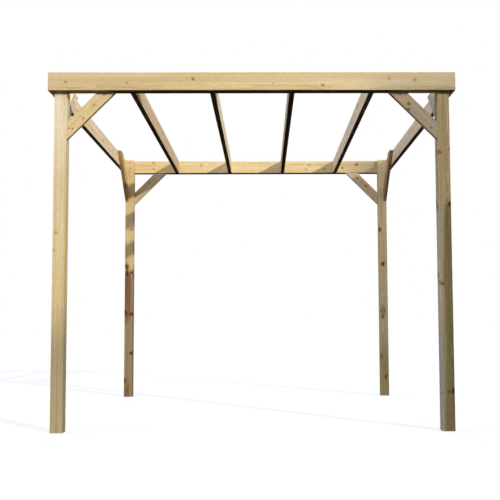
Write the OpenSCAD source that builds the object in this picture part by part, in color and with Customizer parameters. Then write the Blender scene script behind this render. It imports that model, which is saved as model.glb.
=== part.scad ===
// Open timber pergola: four posts carry a level frame of beams and rafters, stiffened by eight knee braces.
// X runs along the front, Y runs from the front to the back, Z is up.
// The origin is on the ground under the middle of the frame.

/* [Frame] */
// Width over the ends of the front beam
frame_w = 3000; // [2400:10:3600]
// Length from the front beam's outer face to the back beam's outer face
frame_l = 3000; // [2400:10:3600]
// Height from the ground to the top of the beams
frame_h = 2630; // [2200:10:3000]

/* [Timber] */
// Side of the square posts
post_side = 90; // [80:1:120]
// Thickness of the front and back beams
beam_t = 80; // [70:1:90]
// Thickness of the rafters and side beams
rafter_t = 40; // [30:1:50]
// Depth of the beams and rafters
beam_h = 135; // [110:1:170]
// Radius of the eased long edges
arris_r = 3; // [2:0.5:5]

/* [Braces] */
// Width of a brace across its face
brace_w = 95; // [70:1:110]
// Thickness of a brace
brace_t = 35; // [25:1:45]
// Height of a brace's lowest point below the beams' underside, on the front and back
cross_leg = 360; // [300:1:450]
// Height of a brace's lowest point below the beams' top, on the sides
side_leg = 470; // [400:1:560]

/* [Hidden] */
$fn = 48;
wood_pale = "#d8c090";
wood_warm = "#cfae78";
wood_grey = "#b7a07c";
// How far the posts stand in from the frame's outer faces
inset = rafter_t;
// Depth of the housing that a front or back beam takes in a post
housing = beam_t - inset;
post_x = frame_w / 2 - inset - post_side / 2;
post_y = frame_l / 2 - inset - post_side / 2;
underside = frame_h - beam_h;
rafter_l = frame_l - 2 * beam_t;
// Number of rafters between the side beams
rafter_count = 4;
rafter_pitch = (frame_w - rafter_t) / (rafter_count + 1);
// How far cutting shapes run past the solids they cut
over = 1;

// Cross-section of a planed timber, centred, with its corners eased
module section(a, b) {
    square([a - 2 * arris_r, b], center = true);
    square([a, b - 2 * arris_r], center = true);
    for (x = [-1, 1], y = [-1, 1])
        translate([x * (a / 2 - arris_r), y * (b / 2 - arris_r)])
            circle(arris_r);
}

// Timber standing on end, a wide along X and b along Y, from the ground of its own frame
module upright(a, b, length) {
    linear_extrude(length) section(a, b);
}

// Timber lying along X, centred along its length, with its underside at zero
module along_x(length, thickness, depth) {
    translate([-length / 2, 0, depth / 2])
        rotate([90, 0, 90])
            linear_extrude(length) section(thickness, depth);
}

// Timber lying along Y, centred along its length, with its underside at zero
module along_y(length, thickness, depth) {
    rotate(90) along_x(length, thickness, depth);
}

// Post at the corner given by the signs of x and y, housed at the top of its outer face for the beam
module post(x, y) {
    color(wood_pale)
    difference() {
        translate([x * post_x, y * post_y, 0]) upright(post_side, post_side, frame_h);
        translate([x * post_x, y * (frame_l / 2 - inset), frame_h])
            cube([post_side + 2 * over, 2 * housing, 2 * beam_h], center = true);
    }
}

// Beam across the front or the back, given by the sign of y
module cross_beam(y) {
    color(wood_warm)
    translate([0, y * (frame_l - beam_t) / 2, underside]) along_x(frame_w, beam_t, beam_h);
}

// Beam outside the posts on the left or the right, given by the sign of x
module side_beam(x) {
    color(wood_grey)
    translate([x * (frame_w - rafter_t) / 2, 0, underside]) along_y(rafter_l, rafter_t, beam_h);
}

// Rafter between the front and back beams, counted from the left
module rafter(i) {
    color(wood_grey)
    translate([(i - (rafter_count + 1) / 2) * rafter_pitch, 0, underside]) along_y(rafter_l, rafter_t, beam_h);
}

// Brace that rises at 45 degrees along +X from a plumb cut at X = 0 to a level cut, its lowest point at Z = 0
module brace(leg) {
    intersection() {
        rotate([0, -45, 0])
            translate([0, 0, brace_w / 2])
                rotate([90, 0, 90])
                    linear_extrude(4 * leg, center = true) section(brace_t, brace_w);
        translate([0, -brace_t, 0]) cube([2 * leg, 2 * brace_t, leg]);
    }
}

// Brace from a post's inner side to the underside of the front or back beam
module cross_brace(x, y) {
    color(wood_warm)
    translate([x * (post_x - post_side / 2), y * (post_y + post_side / 2 - brace_t / 2), underside - cross_leg])
        mirror([x > 0 ? 1 : 0, 0, 0])
            brace(cross_leg);
}

// Brace from a post up the inner face of a side beam, level with its top
module side_brace(x, y) {
    color(wood_grey)
    translate([x * (post_x + post_side / 2 - brace_t / 2), y * (post_y - post_side / 2), frame_h - side_leg])
        rotate(-90 * y)
            brace(side_leg);
}

post(-1, -1);  // front_left_post
post(1, -1);  // front_right_post
post(-1, 1);  // back_left_post
post(1, 1);  // back_right_post
cross_beam(-1);  // front_beam
cross_beam(1);  // back_beam
side_beam(-1);  // left_side_beam
side_beam(1);  // right_side_beam
rafter(1);  // rafter_1
rafter(2);  // rafter_2
rafter(3);  // rafter_3
rafter(4);  // rafter_4
cross_brace(-1, -1);  // front_left_cross_brace
cross_brace(1, -1);  // front_right_cross_brace
cross_brace(-1, 1);  // back_left_cross_brace
cross_brace(1, 1);  // back_right_cross_brace
side_brace(-1, -1);  // front_left_side_brace
side_brace(1, -1);  // front_right_side_brace
side_brace(-1, 1);  // back_left_side_brace
side_brace(1, 1);  // back_right_side_brace
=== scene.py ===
import math
import random

import bpy
from mathutils import Euler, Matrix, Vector


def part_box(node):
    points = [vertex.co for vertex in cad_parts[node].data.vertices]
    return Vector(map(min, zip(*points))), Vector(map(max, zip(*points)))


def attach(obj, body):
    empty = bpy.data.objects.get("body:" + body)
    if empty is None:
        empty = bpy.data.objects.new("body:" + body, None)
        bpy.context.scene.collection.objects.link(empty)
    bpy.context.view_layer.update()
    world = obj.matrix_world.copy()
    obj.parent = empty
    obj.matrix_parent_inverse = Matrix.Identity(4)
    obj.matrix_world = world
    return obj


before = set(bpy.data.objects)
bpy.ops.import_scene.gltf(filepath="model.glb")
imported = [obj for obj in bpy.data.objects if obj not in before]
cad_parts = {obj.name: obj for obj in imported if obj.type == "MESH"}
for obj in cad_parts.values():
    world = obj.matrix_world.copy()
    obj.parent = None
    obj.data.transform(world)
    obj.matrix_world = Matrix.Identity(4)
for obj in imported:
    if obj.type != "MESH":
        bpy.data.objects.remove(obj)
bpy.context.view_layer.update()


# Posts
# Four square posts of planed, pressure-treated softwood stand straight on the ground.
# Each is sawn with the pith inside it, so whorls of knots come out on all four faces,
# and darker heartwood shows where a face is cut near the pith.
class Shade:
    """A value in a node tree. Arithmetic on it adds Math nodes, and node() adds any other node."""

    def __init__(self, tree, socket=None):
        self.tree = tree
        self.socket = socket

    def node(self, kind, settings, sockets, output=0):
        """One output of a new node, which gets its settings first and then its values and links."""
        made = self.tree.nodes.new(kind)
        for name, setting in settings.items():
            setattr(made, name, setting)
        for name, value in sockets.items():
            if isinstance(value, Shade):
                self.tree.links.new(value.socket, made.inputs[name])
            else:
                made.inputs[name].default_value = value
        return Shade(self.tree, made.outputs[output] if made.outputs else None)

    def math(self, operation, *others):
        sockets = dict(enumerate((self, *others)))
        return self.node("ShaderNodeMath", {"operation": operation}, sockets)

    def vector(self, operation, *others, output="Vector"):
        sockets = dict(enumerate((self, *others)))
        return self.node("ShaderNodeVectorMath", {"operation": operation}, sockets, output)

    def dot(self, way):
        return self.vector("DOT_PRODUCT", way, output="Value")

    def length(self):
        return self.vector("LENGTH", output="Value")

    def twin(self, output):
        """Another output of the node that this value comes from."""
        return Shade(self.tree, self.socket.node.outputs[output])

    def fade(self, start, end):
        """Goes smoothly from 0 to 1 as this value goes from start to end."""
        sockets = {"Value": self, "From Min": start, "From Max": end}
        return self.node("ShaderNodeMapRange", {"interpolation_type": "SMOOTHSTEP"}, sockets)

    def blend(self, first, second, kind="MIX"):
        """The colour that goes from first to second as this value goes from 0 to 1."""
        # A Mix node has sockets for every kind of data, and these are the ones for colours
        sockets = {0: self, 6: first, 7: second}
        return self.node("ShaderNodeMix", {"data_type": "RGBA", "blend_type": kind}, sockets, 2)

    def stain(self, colour, tint):
        """The colour as it is where this value is 0, and times the tint where it is 1."""
        return self.blend(colour, tint, "MULTIPLY")

    def __add__(self, other):
        return self.math("ADD", other)

    def __sub__(self, other):
        return self.math("SUBTRACT", other)

    def __rsub__(self, other):
        return self.node("ShaderNodeMath", {"operation": "SUBTRACT"}, {0: other, 1: self})

    def __mul__(self, other):
        return self.math("MULTIPLY", other)

    def __truediv__(self, other):
        return self.math("DIVIDE", other)

    __radd__ = __add__
    __rmul__ = __mul__


def tone(colour):
    """Linear colour of a tone on the 0 to 255 screen scale, by the sRGB curve."""
    def linear(level):
        level /= 255
        return level / 12.92 if level <= 0.04045 else ((level + 0.055) / 1.055) ** 2.4
    return (*(linear(level) for level in colour), 1.0)


def bare_material(name):
    """A new material without nodes, and the Shade that adds them."""
    material = bpy.data.materials.new(name)
    material.use_nodes = True
    material.node_tree.nodes.clear()
    return material, Shade(material.node_tree)


red_knot = ((0.50, 0.34, 0.23, 1.0), (0.25, 0.155, 0.105, 1.0))
dark_knot = ((0.43, 0.34, 0.26, 1.0), (0.20, 0.15, 0.115, 1.0))


def softwood(name, start, turn, half, tones, pith, knots, knot_tint=red_knot, heart=None,
             check=None, figure=0.75, speckle=0.60, painted_shade_side=None):
    """Planed softwood, with its grain along X of a frame that is set at start and turned by turn.

    half is the section's half sizes in that frame, tones the colours at places along the grain,
    and pith the place in the section where the rings are centred.
    A knot is a branch from the pith to a point of the surface: along, y, z, radius there and strength.
    knot_tint holds what the early and late wood of a knot's own rings take from the timber's colour.
    heart is the heartwood's radius at the origin, how that grows per metre, its tone,
    and the stretches along the grain where it shows.
    check is the angle round the pith at which the timber has split in drying, figure how bold
    the rings are, and speckle how strong the streaks and spots are.
    The last argument, the side with painted shade, is the way that this face looks and the tints of its
    painted bluish-grey shade near the foot and near the top.
    """
    material, shade = bare_material(name)
    place = shade.node("ShaderNodeTexCoord", {}, {}, "Object")
    grain_frame = {"Vector": place, "Location": start, "Rotation": turn}
    local = shade.node("ShaderNodeMapping", {"vector_type": "TEXTURE"}, grain_frame)
    along = shade.node("ShaderNodeSeparateXYZ", {}, {0: local}, "X")

    # Each timber takes its noise from another place, so no two are alike
    noise_spread = 3.1
    noise_start = tuple(noise_spread * value for value in start)

    def noise(stretch, detail, output=0):
        spot = local.vector("MULTIPLY_ADD", stretch, noise_start)
        sockets = {"Vector": spot, "Scale": 1.0, "Detail": detail}
        return shade.node("ShaderNodeTexNoise", {}, sockets, output)

    # Distance to the nearest branch, in radii of that branch, and how strongly a branch shows.
    # A branch widens from the pith outwards and climbs a little, and its outline is ragged
    knot_stretch = 0.72
    knot_edge = (1.25, 0.85)
    raggedness = 0.004
    branch_climb = 0.012
    least_radius = 0.0008
    uneven = noise((40, 90, 90), 1.0, "Color")
    ragged = uneven.vector("MULTIPLY_ADD", (2 * raggedness,) * 3, (-raggedness,) * 3)
    near = local.vector("MULTIPLY_ADD", (knot_stretch, 1, 1), ragged)
    branch = None
    knot = None
    for at, y, z, size, strength in knots:
        tip = Vector((at * knot_stretch, y, z))
        base = Vector((tip.x - branch_climb, *pith))
        way = tuple((tip - base).normalized())
        widening = size / (tip - base).length
        offset = near.vector("SUBTRACT", tuple(base))
        beside = offset.vector("CROSS_PRODUCT", way).length()
        ratio = beside / (offset.dot(way) * widening).math("MAXIMUM", least_radius)
        shows = ratio.fade(*knot_edge) * strength
        branch = branch.math("MINIMUM", ratio) if branch else ratio
        knot = knot.math("MAXIMUM", shows) if knot else shows

    # Growth rings about a pith that wanders along the length, and that swing round each knot
    ring_width = 0.0042
    ring_waver = 1.3
    knot_swing = 2.4
    swing_reach = (4.5, 0.8)
    pith_wander = 0.034
    late_rise = (0.30, 0.92)
    late_drop = (1.0, 0.95)
    centring = tuple(-pith_wander / 2 - value for value in pith)
    drift = noise((0.7, 2.5, 2.5), 2.0, "Color")
    wander = drift.vector("MULTIPLY_ADD", (0, pith_wander, pith_wander), (0, *centring))
    section = local.vector("MULTIPLY_ADD", (0, 1, 1), wander)
    radius = section.length()
    swing = branch.fade(*swing_reach) * knot_swing
    year = (radius / ring_width + swing + noise((5, 55, 55), 2.0) * ring_waver).math("FRACT")
    late = year.fade(*late_rise) * year.fade(*late_drop)

    fibre = noise((16, 640, 640), 2.0)
    streak = noise((0.7, 52, 52), 3.0)
    band = noise((0.5, 20, 20), 2.0)
    blotch = noise((1.7, 7, 7), 2.0)
    mottle = noise((70, 120, 120), 2.0)

    # Sapwood by its tones along the grain, and heartwood where the section lies near enough to the pith
    tone_sway = 0.25
    heart_sway = 0.05
    heart_fray = 0.02
    heart_blur = 0.006
    stretch_blur = 0.06
    swayed = along + (blotch - 0.5) * tone_sway
    timber = tone(tones[0][1])
    for (here, _), (there, colour) in zip(tones, tones[1:]):
        timber = swayed.fade(here, there).blend(timber, tone(colour))
    if heart:
        core, growth, heart_tone, stretches = heart
        depth = radius - along * growth + (blotch - 0.5) * heart_sway + (streak - 0.5) * heart_fray
        bared = None
        for low, high in stretches:
            past_low = swayed.fade(low - stretch_blur, low + stretch_blur)
            before_high = swayed.fade(high + stretch_blur, high - stretch_blur)
            stretch = past_low * before_high
            bared = bared.math("MAXIMUM", stretch) if bared else stretch
        inside = depth.fade(core + heart_blur, core - heart_blur)
        timber = (inside * bared).blend(timber, tone(heart_tone))

    # Early and late wood, then streaks, bands, spots, the treatment's green cast and fibres:
    # the noise that makes each, the span over which it comes up, its strength and its tint
    early_tint = (1.07, 1.07, 1.08, 1.0)
    late_tint = (0.80, 0.73, 0.62, 1.0)
    colour = timber.vector("MULTIPLY", (late * figure).blend(early_tint, late_tint))
    for pattern, span, strength, tint in (
        (streak, (0.46, 0.70), speckle, (0.84, 0.79, 0.70, 1.0)),
        (band, (0.46, 0.62), 0.60, (0.88, 0.84, 0.78, 1.0)),
        (mottle, (0.40, 0.64), speckle, (0.88, 0.87, 0.84, 1.0)),
        (blotch, (0.42, 0.70), 0.60, (0.92, 0.95, 0.83, 1.0)),
        (fibre, (0.45, 0.75), 0.30, (0.82, 0.76, 0.68, 1.0)),
    ):
        colour = (pattern.fade(*span) * strength).stain(colour, tint)

    # A knot has a warm halo, rings of its own and a rim of bark on one side
    halo_reach = (3.0, 0.9)
    halo_strength = 0.5
    halo_tint = (0.88, 0.78, 0.62, 1.0)
    rings_per_radius = 3.2
    bark_inside = (0.5, 0.95)
    bark_outside = (1.5, 1.0)
    bark_tint = (0.30, 0.25, 0.22, 1.0)
    colour = (branch.fade(*halo_reach) * halo_strength).stain(colour, halo_tint)
    knot_ring = (branch * rings_per_radius).math("FRACT").blend(*knot_tint)
    colour = knot.stain(colour, knot_ring)
    one_side = noise((30, 45, 45), 1.0).fade(0.38, 0.55)
    bark = branch.fade(*bark_inside) * branch.fade(*bark_outside) * knot * one_side
    colour = bark.stain(colour, bark_tint)

    # Arrises get a painted highlight, sawn ends are darker, and one face can get painted bluish-grey
    # shade
    edge_highlight_width = (0.007, 0.001)
    edge_highlight_strength = 0.5
    edge_highlight_tint = (1.16, 1.14, 1.08, 1.0)
    sawn_tint = (0.74, 0.68, 0.58, 1.0)
    painted_shade_heights = (1.35, 1.80)
    from_side_y = half[0] - along.twin("Y").math("ABSOLUTE")
    from_side_z = half[1] - along.twin("Z").math("ABSOLUTE")
    # Painted highlight: the colour is paler along the edges, where they catch the light
    painted_edge_highlight = from_side_y.math("MAXIMUM", from_side_z).fade(*edge_highlight_width)
    colour = (painted_edge_highlight * edge_highlight_strength).stain(colour, edge_highlight_tint)
    grain = Vector((1, 0, 0))
    grain.rotate(Euler(turn))
    facing = shade.node("ShaderNodeNewGeometry", {}, {}, "True Normal")
    sawn = facing.dot(tuple(grain)).math("ABSOLUTE").fade(0.8, 0.95)
    colour = sawn.stain(colour, sawn_tint)
    # Painted shade: one face is tinted bluish grey, as it looks in cool shade
    if painted_shade_side:
        outlook, foot_tint, top_tint = painted_shade_side
        painted_shade_mask = facing.dot(outlook).fade(0.5, 0.9)
        colour = painted_shade_mask.stain(colour, along.fade(*painted_shade_heights).blend(foot_tint, top_tint))
    roughness = 0.64 + late * 0.10 + fibre * 0.12 - knot * 0.12
    height = late * 0.35 + fibre * 0.5 + knot * 0.5

    # A drying check opens and closes along the length
    if check is not None:
        check_width = 0.0016
        check_wriggle = 0.006
        check_root = (0.004, 0.010)
        check_openings = (0.46, 0.60)
        check_depth = 1.5
        check_tint = (0.22, 0.18, 0.14, 1.0)
        across = section.dot((0, -math.sin(check), math.cos(check)))
        outward = section.dot((0, math.cos(check), math.sin(check)))
        wriggle = (noise((4, 0, 0), 2.0) - 0.5) * check_wriggle
        split = (across + wriggle).math("ABSOLUTE").fade(check_width, 0.3 * check_width)
        opened = noise((1.1, 0, 0), 1.0).fade(*check_openings)
        split = split * outward.fade(*check_root) * opened
        colour = split.stain(colour, check_tint)
        height = height - split * check_depth

    grain_relief = {"Strength": 0.4, "Distance": 0.001, "Height": height}
    relief = shade.node("ShaderNodeBump", {}, grain_relief)
    finish = {"Base Color": colour, "Roughness": roughness, "Specular IOR Level": 0.0, "Normal": relief}
    surface = shade.node("ShaderNodeBsdfPrincipled", {}, finish)
    shade.node("ShaderNodeOutputMaterial", {}, {"Surface": surface})
    return material


def dress(node, material):
    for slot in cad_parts[node].material_slots:
        slot.material = material


def middle(node):
    low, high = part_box(node)
    return (Vector(low) + Vector(high)) / 2


def half_size(node):
    low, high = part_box(node)
    return (Vector(high) - Vector(low)) / 2


def whorls(knots, pith, draw):
    """The knots given, each with two more branches of its whorl, towards the back of the post."""
    reach = 0.055
    angles = (0.2, 1.5)
    shifts = (-0.03, 0.03)
    shares = (0.6, 1.1)
    branches = list(knots)
    for at, y, z, size, strength in knots:
        for hand in (1, -1):
            way = hand * draw.uniform(*angles)
            tip = (pith[0] + reach * math.cos(way), pith[1] + reach * math.sin(way))
            level = at + draw.uniform(*shifts)
            branches.append((level, *tip, size * draw.uniform(*shares), strength))
    return branches


upright = (0, -math.pi / 2, 0)
post_front = -0.045
post_left = 0.045
posts = {
    "front_left_post": dict(
        # The paler foot is painted light: it stands in for extra light on the shaded foot
        tones=[(0.0, (223, 201, 154)), (1.0, (209, 188, 142)),
               (1.6, (218, 198, 154)), (2.4, (235, 221, 193))],
        pith=(0.016, -0.012), check=0.2, figure=0.2, speckle=1.0,
        knots=[(1.45, post_front, 0.022, 0.007, 0.5), (1.32, post_front, 0.036, 0.006, 0.4)]),
    "front_right_post": dict(
        tones=[(0.0, (186, 170, 142)), (0.6, (192, 175, 145)), (1.0, (214, 192, 156)),
               (1.5, (208, 187, 149)), (1.8, (218, 194, 146)), (2.4, (218, 194, 147))],
        pith=(-0.020, -0.028), heart=(0.062, -0.016, (157, 140, 101), [(-0.2, 1.68)]),
        check=1.5, figure=1.0, speckle=1.0,
        # The inner face gets painted bluish-grey shade
        painted_shade_side=((-1, 0, 0), (0.98, 1.09, 1.42, 1.0), (0.84, 0.87, 1.17, 1.0)),
        knots=[(2.04, post_front, 0.034, 0.008, 0.6), (2.06, post_front, -0.042, 0.007, 0.7),
               (1.65, post_front, -0.036, 0.011, 1.0), (1.68, 0.030, post_left, 0.011, 0.9),
               (1.07, post_front, 0.037, 0.009, 0.6), (1.13, 0.020, post_left, 0.012, 0.9),
               (0.285, post_front, -0.036, 0.012, 0.9), (0.282, post_front, -0.008, 0.006, 0.6)]),
    "back_left_post": dict(
        tones=[(0.0, (213, 187, 138)), (1.0, (215, 190, 141)),
               (1.5, (217, 192, 144)), (2.4, (217, 196, 148))],
        pith=(-0.030, 0.018), heart=(0.038, 0.0, (190, 142, 100), [(-0.2, 0.16), (0.84, 1.42)]),
        check=-1.3,
        knots=[(1.41, post_front, 0.020, 0.014, 1.0), (1.342, post_front, 0.018, 0.012, 1.0),
               (1.37, post_front, -0.040, 0.012, 0.8), (1.85, post_front, -0.012, 0.012, 0.4),
               (0.905, post_front, 0.026, 0.012, 0.7), (0.91, post_front, -0.036, 0.013, 0.9),
               (0.48, post_front, -0.042, 0.013, 1.0), (0.17, post_front, 0.034, 0.015, 0.8)]),
    "back_right_post": dict(
        # Pale towards the top: painted light, against the shadow that the side beam and brace throw on it
        tones=[(0.3, (180, 158, 116)), (0.8, (213, 191, 149)),
               (2.0, (232, 208, 163)), (2.6, (225, 205, 166))],
        pith=(0.010, 0.014), check=0.5,
        knots=[(1.84, post_front, 0.038, 0.016, 0.9), (1.455, post_front, 0.004, 0.016, 1.0),
               (0.93, post_front, 0.012, 0.026, 0.5), (0.87, post_front, 0.016, 0.015, 0.9),
               (0.43, post_front, 0.036, 0.016, 0.5), (0.21, post_front, -0.010, 0.011, 1.0)]),
}
draw = random.Random(4)
for node, look in posts.items():
    centre = middle(node)
    half = half_size(node)
    look["knots"] = whorls(look["knots"], look["pith"], draw)
    look["knot_tint"] = dark_knot
    dress(node, softwood(node, (centre.x, centre.y, 0), upright, (half.y, half.x), **look))


# Cross beams
# Two thick beams lie across the front and the back, half housed in the outer faces of the posts.
# They are planed from one log each, square cut at the ends, and screwed to the posts.
left_to_right = (0, 0, 0)
beam_front = -0.04
cross_beams = {
    "front_beam": dict(
        tones=[(-1.5, (216, 194, 153)), (0.1, (225, 203, 158)), (1.5, (214, 195, 160))],
        pith=(0.030, -0.045), check=1.6,
        knots=[(-1.37, beam_front, -0.006, 0.006, 0.6), (-0.92, beam_front, -0.013, 0.006, 0.6),
               (-0.435, beam_front, 0.016, 0.007, 0.7), (0.15, beam_front, -0.016, 0.004, 0.9),
               (0.52, beam_front, -0.030, 0.007, 0.65), (1.01, beam_front, 0.018, 0.006, 0.4),
               (1.20, beam_front, 0.007, 0.008, 0.4)]),
    "back_beam": dict(
        # Darker towards the right end: painted shade, for the half shade that falls there
        tones=[(-1.5, (228, 203, 151)), (-0.3, (236, 213, 168)),
               (0.5, (233, 210, 165)), (1.3, (203, 183, 149))],
        pith=(0.034, 0.030), check=-0.4,
        knots=[(-1.158, beam_front, 0.046, 0.009, 0.55), (-1.156, beam_front, -0.020, 0.008, 0.3),
               (-0.62, beam_front, 0.022, 0.008, 0.35), (0.60, beam_front, 0.022, 0.010, 0.5),
               (0.56, beam_front, -0.024, 0.008, 0.35), (0.77, beam_front, -0.022, 0.009, 0.5),
               (0.977, beam_front, -0.009, 0.009, 0.7), (1.137, beam_front, 0.024, 0.012, 0.7)]),
}
for node, look in cross_beams.items():
    half = half_size(node)
    dress(node, softwood(node, tuple(middle(node)), left_to_right, (half.y, half.z), **look))


# Rafters and side beams
# Four rafters and two side beams of the same board, set on edge, run between the front and back beams.
# They are butted against the beams and screwed at a slant, and their sapwood is a little pinker.
front_to_back = (0, 0, math.pi / 2)
knots_per_board = 6
pith_beside = (0.045, 0.075)
pith_above = (-0.04, 0.04)


def scattered(draw, count, ends, half):
    """Knots strewn along a board, coming out on its right-hand wide face."""
    places_in_step = (0.2, 0.8)
    shares_across = (-0.75, 0.75)
    radii = (0.006, 0.011)
    strengths = (0.3, 0.8)
    step = (ends[1] - ends[0]) / count
    knots = []
    for place in range(count):
        at = ends[0] + step * (place + draw.uniform(*places_in_step))
        across = draw.uniform(*shares_across) * half[1]
        knots.append((at, -half[0], across, draw.uniform(*radii), draw.uniform(*strengths)))
    return knots


# Tones at the front end and at the back end
boards = {
    "left_side_beam": ((248, 227, 197), (245, 224, 194)),
    "rafter_1": ((222, 200, 168), (216, 193, 160)),
    "rafter_2": ((246, 230, 206), (243, 226, 201)),
    "rafter_3": ((200, 182, 160), (196, 177, 154)),
    "rafter_4": ((244, 223, 201), (240, 218, 195)),
    "right_side_beam": ((228, 207, 186), (224, 203, 182)),
}
for node, colours in boards.items():
    half = half_size(node)
    ends = (-half.y, half.y)
    section = (half.x, half.z)
    tones = list(zip(ends, colours))
    pith = (draw.choice((-1, 1)) * draw.uniform(*pith_beside), draw.uniform(*pith_above))
    knots = scattered(draw, knots_per_board, ends, section)
    dress(node, softwood(node, tuple(middle(node)), front_to_back, section, tones, pith, knots))


# Knee braces
# Eight short boards stiffen the corners at 45 degrees, four across the front and back, four at the sides.
# Each is cut plumb against its post and level at the top, and held by screws at either end.
brace_width = 0.095
brace_face = 0.0175
pith_distance = 0.05
pith_sway = (-0.03, 0.03)
rise = -math.pi / 4
braces = {
    "front_left_cross_brace": dict(
        heading=0, colours=((222, 199, 151), (222, 199, 150)),
        knots=[(-0.052, -brace_face, -0.019, 0.006, 0.6), (0.072, -brace_face, -0.001, 0.007, 0.35),
               (-0.178, -brace_face, -0.001, 0.005, 0.4)]),
    "front_right_cross_brace": dict(
        heading=math.pi, colours=((210, 186, 154), (212, 188, 154)),
        knots=[(0.082, brace_face, -0.005, 0.008, 0.8), (0.056, brace_face, -0.036, 0.007, 0.7)]),
    "back_left_cross_brace": dict(
        heading=0, colours=((204, 181, 144), (200, 178, 144)),
        knots=[(0.04, -brace_face, 0.020, 0.007, 0.4)]),
    "back_right_cross_brace": dict(
        heading=math.pi, colours=((222, 199, 174), (222, 199, 174)),
        knots=[(-0.02, brace_face, 0.010, 0.010, 0.5), (0.12, brace_face, 0.000, 0.008, 0.5)]),
    "front_left_side_brace": dict(
        heading=math.pi / 2, colours=((234, 219, 189), (234, 219, 189)),
        knots=[(0.05, -brace_face, 0.020, 0.007, 0.5)]),
    # Its grey tone is painted shade: the cool grey that shade gives this brace
    "front_right_side_brace": dict(
        heading=math.pi / 2, colours=((184, 180, 170), (184, 180, 170)),
        knots=[(-0.08, brace_face, -0.020, 0.008, 0.5)]),
    "back_left_side_brace": dict(
        heading=-math.pi / 2, colours=((212, 182, 127), (206, 176, 123)),
        knots=[(0.07, -brace_face, 0.000, 0.008, 0.5)]),
    "back_right_side_brace": dict(
        heading=-math.pi / 2, colours=((196, 168, 126), (196, 168, 128)),
        knots=[(-0.06, brace_face, 0.020, 0.008, 0.6)]),
}
for node, look in braces.items():
    half = half_size(node)
    turn = (0, rise, look.pop("heading"))
    upward = Vector((0, 0, brace_width / 2))
    upward.rotate(Euler(turn))
    section = (min(half.x, half.y), brace_width / 2)
    ends = (-half.z * math.sqrt(2), half.z * math.sqrt(2))
    tones = list(zip(ends, look.pop("colours")))
    knotted_face = look["knots"][0][1]
    pith = (-math.copysign(pith_distance, knotted_face), draw.uniform(*pith_sway))
    dress(node, softwood(node, tuple(middle(node) + upward), turn, section, tones, pith, **look))


# Screws
# Countersunk steel screws with a dull brown coating, darkened further by painted shade, hold the timbers,
# two to each joint of post and beam.
# Their heads are drawn in almost flush, with a six-lobed recess for the bit.
head_radius = 0.006
head_depth = 0.0018
recess_depth = 0.0007
rim_share = 0.86
recess_share = 0.60
lobe_share = 0.68
lobes = 6
points_per_lobe = 4
first_row = 0.032
second_row = 0.094
stagger = 0.008
end_margin = 0.044
tip_margin = 0.087
beam_margin = 0.020

# Each screw's place and the way that its head looks
screw_places = []
for hand, x in (("left", -1), ("right", 1)):
    for end, y in (("front", -1), ("back", 1)):
        low, high = (Vector(corner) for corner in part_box(f"{end}_{hand}_post"))
        post_inside = high.y if y < 0 else low.y
        post_x = (low.x + high.x) / 2
        beam_low, beam_high = (Vector(corner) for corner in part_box(f"{hand}_side_beam"))
        outside = beam_low.x if x < 0 else beam_high.x
        lap_y = (max(low.y, beam_low.y) + min(high.y, beam_high.y)) / 2
        for row, shift in ((first_row, stagger), (second_row, -stagger)):
            screw_places.append(((post_x + x * shift, post_inside, high.z - row), (0, -y, 0)))
            screw_places.append(((outside, lap_y + y * shift, high.z - row), (x, 0, 0)))

        low, high = (Vector(corner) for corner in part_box(f"{end}_{hand}_cross_brace"))
        at_post, at_beam = (low.x, high.x) if x < 0 else (high.x, low.x)
        face = low.y if y < 0 else high.y
        screw_places.append(((at_post - x * end_margin, face, low.z + tip_margin), (0, y, 0)))
        screw_places.append(((at_beam + x * tip_margin, face, high.z - beam_margin), (0, y, 0)))

        low, high = (Vector(corner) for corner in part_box(f"{end}_{hand}_side_brace"))
        at_post, at_beam = (low.y, high.y) if y < 0 else (high.y, low.y)
        face = high.x if x < 0 else low.x
        screw_places.append(((face, at_post - y * end_margin, low.z + tip_margin), (-x, 0, 0)))
        for row in (first_row, second_row):
            brace_y = at_beam + y * (row + brace_width / math.sqrt(2))
            screw_places.append(((face, brace_y, high.z - row), (-x, 0, 0)))

for number in range(1, 5):
    low, high = (Vector(corner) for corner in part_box(f"rafter_{number}"))
    rafter_z = (low.z + high.z) / 2
    for end_y in (low.y + end_margin, high.y - end_margin):
        screw_places.append(((low.x, end_y, rafter_z), (-1, 0, 0)))
        screw_places.append(((high.x, end_y, rafter_z), (1, 0, 0)))

# Painted shade: both browns are darker than the coating itself, for the shade in the countersunk heads
dark_coat_and_shade = tone((38, 31, 22))
pale_coat_and_shade = tone((62, 52, 38))
coated_steel, shade = bare_material("coated_steel")
place = shade.node("ShaderNodeTexCoord", {}, {}, "Object")
patches = shade.node("ShaderNodeTexNoise", {}, {"Vector": place, "Scale": 420.0, "Detail": 3.0})
coating_and_shade = patches.fade(0.35, 0.65).blend(dark_coat_and_shade, pale_coat_and_shade)
dull_finish = {"Base Color": coating_and_shade, "Roughness": 0.50 + patches * 0.3, "Metallic": 0.3}
steel = shade.node("ShaderNodeBsdfPrincipled", {}, dull_finish)
shade.node("ShaderNodeOutputMaterial", {}, {"Surface": steel})

heads = bpy.data.node_groups.new("screw_heads", "GeometryNodeTree")
for name, way, kind in (
    ("Places", "INPUT", "NodeSocketGeometry"),
    ("Head radius", "INPUT", "NodeSocketFloat"),
    ("Head depth", "INPUT", "NodeSocketFloat"),
    ("Recess depth", "INPUT", "NodeSocketFloat"),
    ("Heads", "OUTPUT", "NodeSocketGeometry"),
):
    heads.interface.new_socket(name, in_out=way, socket_type=kind)
shape = Shade(heads)
places = shape.node("NodeGroupInput", {}, {}, "Places")


def narrowed(mesh, faces, share):
    """The mesh with some faces scaled about their middle."""
    sockets = {"Geometry": mesh, "Selection": faces, "Scale": share}
    return shape.node("GeometryNodeScaleElements", {}, sockets)


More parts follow.
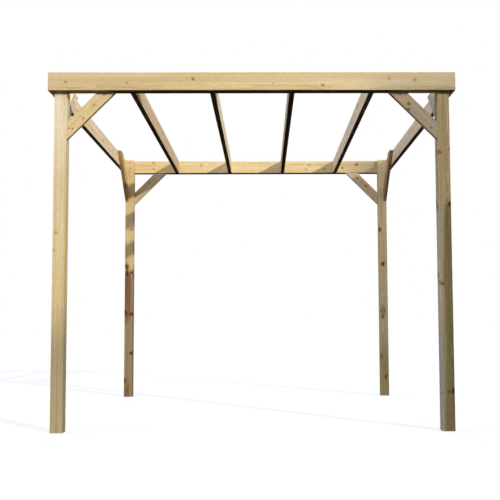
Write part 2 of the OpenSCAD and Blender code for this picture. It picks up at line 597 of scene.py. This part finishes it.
def pushed(mesh, faces, distance):
    """The mesh with some faces extruded together."""
    sockets = {"Mesh": mesh, "Selection": faces, "Offset Scale": distance, "Individual": False}
    return shape.node("GeometryNodeExtrudeMesh", {}, sockets, "Mesh")


# A disc with a sloping rim, and in its top a smaller outline.
# Every second pair of the outline's points is drawn in, which leaves the lobes, and then it is sunk
disc = {
    "Vertices": lobes * points_per_lobe,
    "Radius": places.twin("Head radius"),
    "Depth": places.twin("Head depth"),
}
blank = shape.node("GeometryNodeMeshCylinder", {"fill_type": "NGON"}, disc, "Mesh")
lipped = pushed(narrowed(blank, blank.twin("Top"), rim_share), blank.twin("Top"), 0.0)
inset = lipped.twin("Top")
step = shape.node("GeometryNodeInputIndex", {}, {}).math("MODULO", points_per_lobe)
between_lobes = step.math("LESS_THAN", points_per_lobe / 2) * inset
at_point = shape.node("GeometryNodeInputPosition", {}, {})
lobed = {
    "Geometry": narrowed(lipped, inset, recess_share),
    "Selection": between_lobes,
    "Position": at_point.vector("MULTIPLY", (lobe_share, lobe_share, 1.0)),
}
outlined = shape.node("GeometryNodeSetPosition", {}, lobed)
head = pushed(outlined, inset, places.twin("Recess depth") * -1.0)
facing_kind = {"data_type": "FLOAT_VECTOR"}
facing = shape.node("GeometryNodeInputNamedAttribute", facing_kind, {"Name": "facing"})
aim = shape.node("FunctionNodeAlignRotationToVector", {"axis": "Z"}, {"Vector": facing})
set_in = {"Points": places, "Instance": head, "Rotation": aim}
copies = shape.node("GeometryNodeInstanceOnPoints", {}, set_in)
solid = shape.node("GeometryNodeRealizeInstances", {}, {"Geometry": copies})
finished = shape.node("GeometryNodeSetMaterial", {}, {"Geometry": solid, "Material": coated_steel})
shape.node("NodeGroupOutput", {}, {"Heads": finished})

spots = bpy.data.meshes.new("screw_spots")
spots.from_pydata([spot for spot, outlook in screw_places], [], [])
outlooks = spots.attributes.new("facing", "FLOAT_VECTOR", "POINT")
for entry, (spot, outlook) in zip(outlooks.data, screw_places):
    entry.vector = outlook
spots_object = bpy.data.objects.new("screw_spots", spots)
bpy.context.collection.objects.link(spots_object)
maker = spots_object.modifiers.new("screw_heads", "NODES")
maker.node_group = heads
head_sizes = {"Head radius": head_radius, "Head depth": head_depth, "Recess depth": recess_depth}
for item in heads.interface.items_tree:
    if item.name in head_sizes:
        maker[item.identifier] = head_sizes[item.name]
evaluated = spots_object.evaluated_get(bpy.context.evaluated_depsgraph_get())
screws_mesh = bpy.data.meshes.new_from_object(evaluated)
bpy.data.objects.remove(spots_object)
screws = bpy.data.objects.new("screws", screws_mesh)
bpy.context.collection.objects.link(screws)
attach(screws, "root")


# Floor
# A wide pale floor that shows white, with the pergola's own shadow on it.
# Light that bounces from it is as low as from ground, so the undersides stay dark.
floor_half = 60.0
floor_tone = (0.92, 0.92, 0.92, 1.0)
shadow_share = 0.35
bounce_tone = (0.007, 0.005, 0.003, 1.0)
white = {"Color": (1.0, 1.0, 1.0, 1.0), "Strength": 1.0}
floor_mesh = bpy.data.meshes.new("floor")
floor_corners = [(x * floor_half, y * floor_half, 0) for x, y in ((-1, -1), (1, -1), (1, 1), (-1, 1))]
floor_mesh.from_pydata(floor_corners, [], [(0, 1, 2, 3)])
floor = bpy.data.objects.new("floor", floor_mesh)
bpy.context.collection.objects.link(floor)


def seen(shade):
    """1 for rays from the camera, and for those mirrored or passed on from it."""
    path = shade.node("ShaderNodeLightPath", {}, {}, "Is Camera Ray")
    mirrored = path.twin("Is Glossy Ray")
    passed_on = path.twin("Is Transmission Ray")
    return path.math("MAXIMUM", mirrored).math("MAXIMUM", passed_on)


pale_floor, shade = bare_material("pale_floor")
floor_mesh.materials.append(pale_floor)
glow = shade.node("ShaderNodeEmission", {}, white)
matt = shade.node("ShaderNodeBsdfDiffuse", {}, {"Color": floor_tone})
shown = shade.node("ShaderNodeMixShader", {}, {0: shadow_share, 1: glow, 2: matt})
bounce = shade.node("ShaderNodeBsdfDiffuse", {}, {"Color": bounce_tone})
floor_look = shade.node("ShaderNodeMixShader", {}, {0: seen(shade), 1: bounce, 2: shown})
shade.node("ShaderNodeOutputMaterial", {}, {"Surface": floor_look})


# Light
# A low key from the right of the front, and weak soft lamps from all four sides, under an even cool sky.
# A net far to the right takes most of the key from the right-hand posts and from the feet.
# It is never seen, and it shades nothing but the pergola.
sky_tone = (0.86, 0.95, 1.12, 1.0)
sky_strength = 0.46
world = bpy.data.worlds.new("sky")
bpy.context.scene.world = world
world.use_nodes = True
world.node_tree.nodes.clear()
shade = Shade(world.node_tree)
sky = shade.node("ShaderNodeBackground", {}, {"Color": sky_tone, "Strength": sky_strength})
backdrop = shade.node("ShaderNodeBackground", {}, white)
sky_look = shade.node("ShaderNodeMixShader", {}, {0: seen(shade), 1: sky, 2: backdrop})
shade.node("ShaderNodeOutputWorld", {}, {"Surface": sky_look})

pergola = bpy.data.collections.new("pergola")
for piece in (*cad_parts.values(), screws):
    pergola.objects.link(piece)
ground = bpy.data.collections.new("ground")
ground.objects.link(floor)
all_but_net = bpy.data.collections.new("all_but_net")
all_but_net.children.link(pergola)
all_but_net.children.link(ground)

# The net's upper edge throws the edge of its shade on these places of the pergola.
# It is laid double towards the right
key_way = Vector((-1.0, 1.13, -0.55))
net_distance = 10.0
net_overhang = Vector((0, 6.0, 0))
net_lap = 1.5
single_passes = 0.18
double_passes = 0.08
shade_ends = [(-1.46, -1.46, 0.75), (0.95, -1.46, 2.51), (1.46, -1.46, 2.51), (1.20, 1.42, 2.51)]
upper_edge = [Vector(spot) - key_way * (net_distance - spot[0]) for spot in shade_ends]
doubled_from = upper_edge[1].y
upper_edge = [upper_edge[0] - net_overhang, *upper_edge, upper_edge[-1] + net_overhang]
hem = [(net_distance, spot.y, 0) for spot in (upper_edge[-1], upper_edge[0])]
net_corners = [*(tuple(spot) for spot in upper_edge), *hem]
net_mesh = bpy.data.meshes.new("net")
net_mesh.from_pydata(net_corners, [], [range(len(net_corners))])
net = bpy.data.objects.new("net", net_mesh)
bpy.context.collection.objects.link(net)
gauze, shade = bare_material("gauze")
net_mesh.materials.append(gauze)
place = shade.node("ShaderNodeTexCoord", {}, {}, "Object")
sideways = shade.node("ShaderNodeSeparateXYZ", {}, {0: place}, "Y")
doubling = sideways.fade(doubled_from - net_lap, doubled_from)
single, double = (
    shade.node("ShaderNodeBsdfTransparent", {}, {"Color": (share, share, share, 1.0)})
    for share in (single_passes, double_passes))
net_look = shade.node("ShaderNodeMixShader", {}, {0: doubling, 1: single, 2: double})
shade.node("ShaderNodeOutputMaterial", {}, {"Surface": net_look})
net.visible_camera = False
net.visible_diffuse = False
net.visible_glossy = False
net.visible_transmission = False

key_level = 0.85
key_spread = 1.2
soft_spread = 30.0
warm = (1.0, 0.96, 0.90)
cool = (0.78, 0.90, 1.04)
plain = (1.0, 1.0, 1.0)

# Each lamp's way, level, spread in degrees and colour.
# Then come the only things that it lights, and the only things that block it, where that isn't everything
lamps = {
    "key": (key_way, key_level, key_spread, warm, pergola, None),
    "floor_key": (key_way, key_level, key_spread, warm, ground, pergola),
    "front": ((0.05, 1.0, -0.55), 0.265, soft_spread, plain, None, all_but_net),
    "left": ((1.0, 0.15, -0.55), 0.42, soft_spread, cool, None, all_but_net),
    "right": ((-1.0, 0.10, -0.30), 0.07, soft_spread, plain, None, all_but_net),
    "back": ((0.10, -1.0, -0.30), 0.48, soft_spread, plain, None, all_but_net),
}
for name, (way, level, spread, colour, lit, blockers) in lamps.items():
    light = bpy.data.lights.new(name, "SUN")
    light.energy = level * math.pi
    light.angle = math.radians(spread)
    light.color = colour
    lamp = bpy.data.objects.new(name, light)
    lamp.rotation_euler = Vector(way).to_track_quat("-Z", "Y").to_euler()
    lamp.light_linking.receiver_collection = lit
    lamp.light_linking.blocker_collection = blockers
    bpy.context.collection.objects.link(lamp)


# Camera
# It stands close in front at seat height, a little right of the middle, and looks slightly up.
camera_place = (0.079, -6.848, 0.7485)
look_up = math.radians(3.79)
look_right = math.radians(-0.50)
camera_roll = math.radians(0.23)
lens = bpy.data.cameras.new("camera")
lens.sensor_width = 36.0
lens.lens = 53.35
lens.shift_x = -0.0403
lens.shift_y = 0.0577
camera = bpy.data.objects.new("camera", lens)
camera.location = camera_place
camera.rotation_euler = (math.pi / 2 + look_up, camera_roll, look_right)
bpy.context.collection.objects.link(camera)
bpy.context.scene.camera = camera
bpy.context.scene.view_settings.view_transform = "Standard"
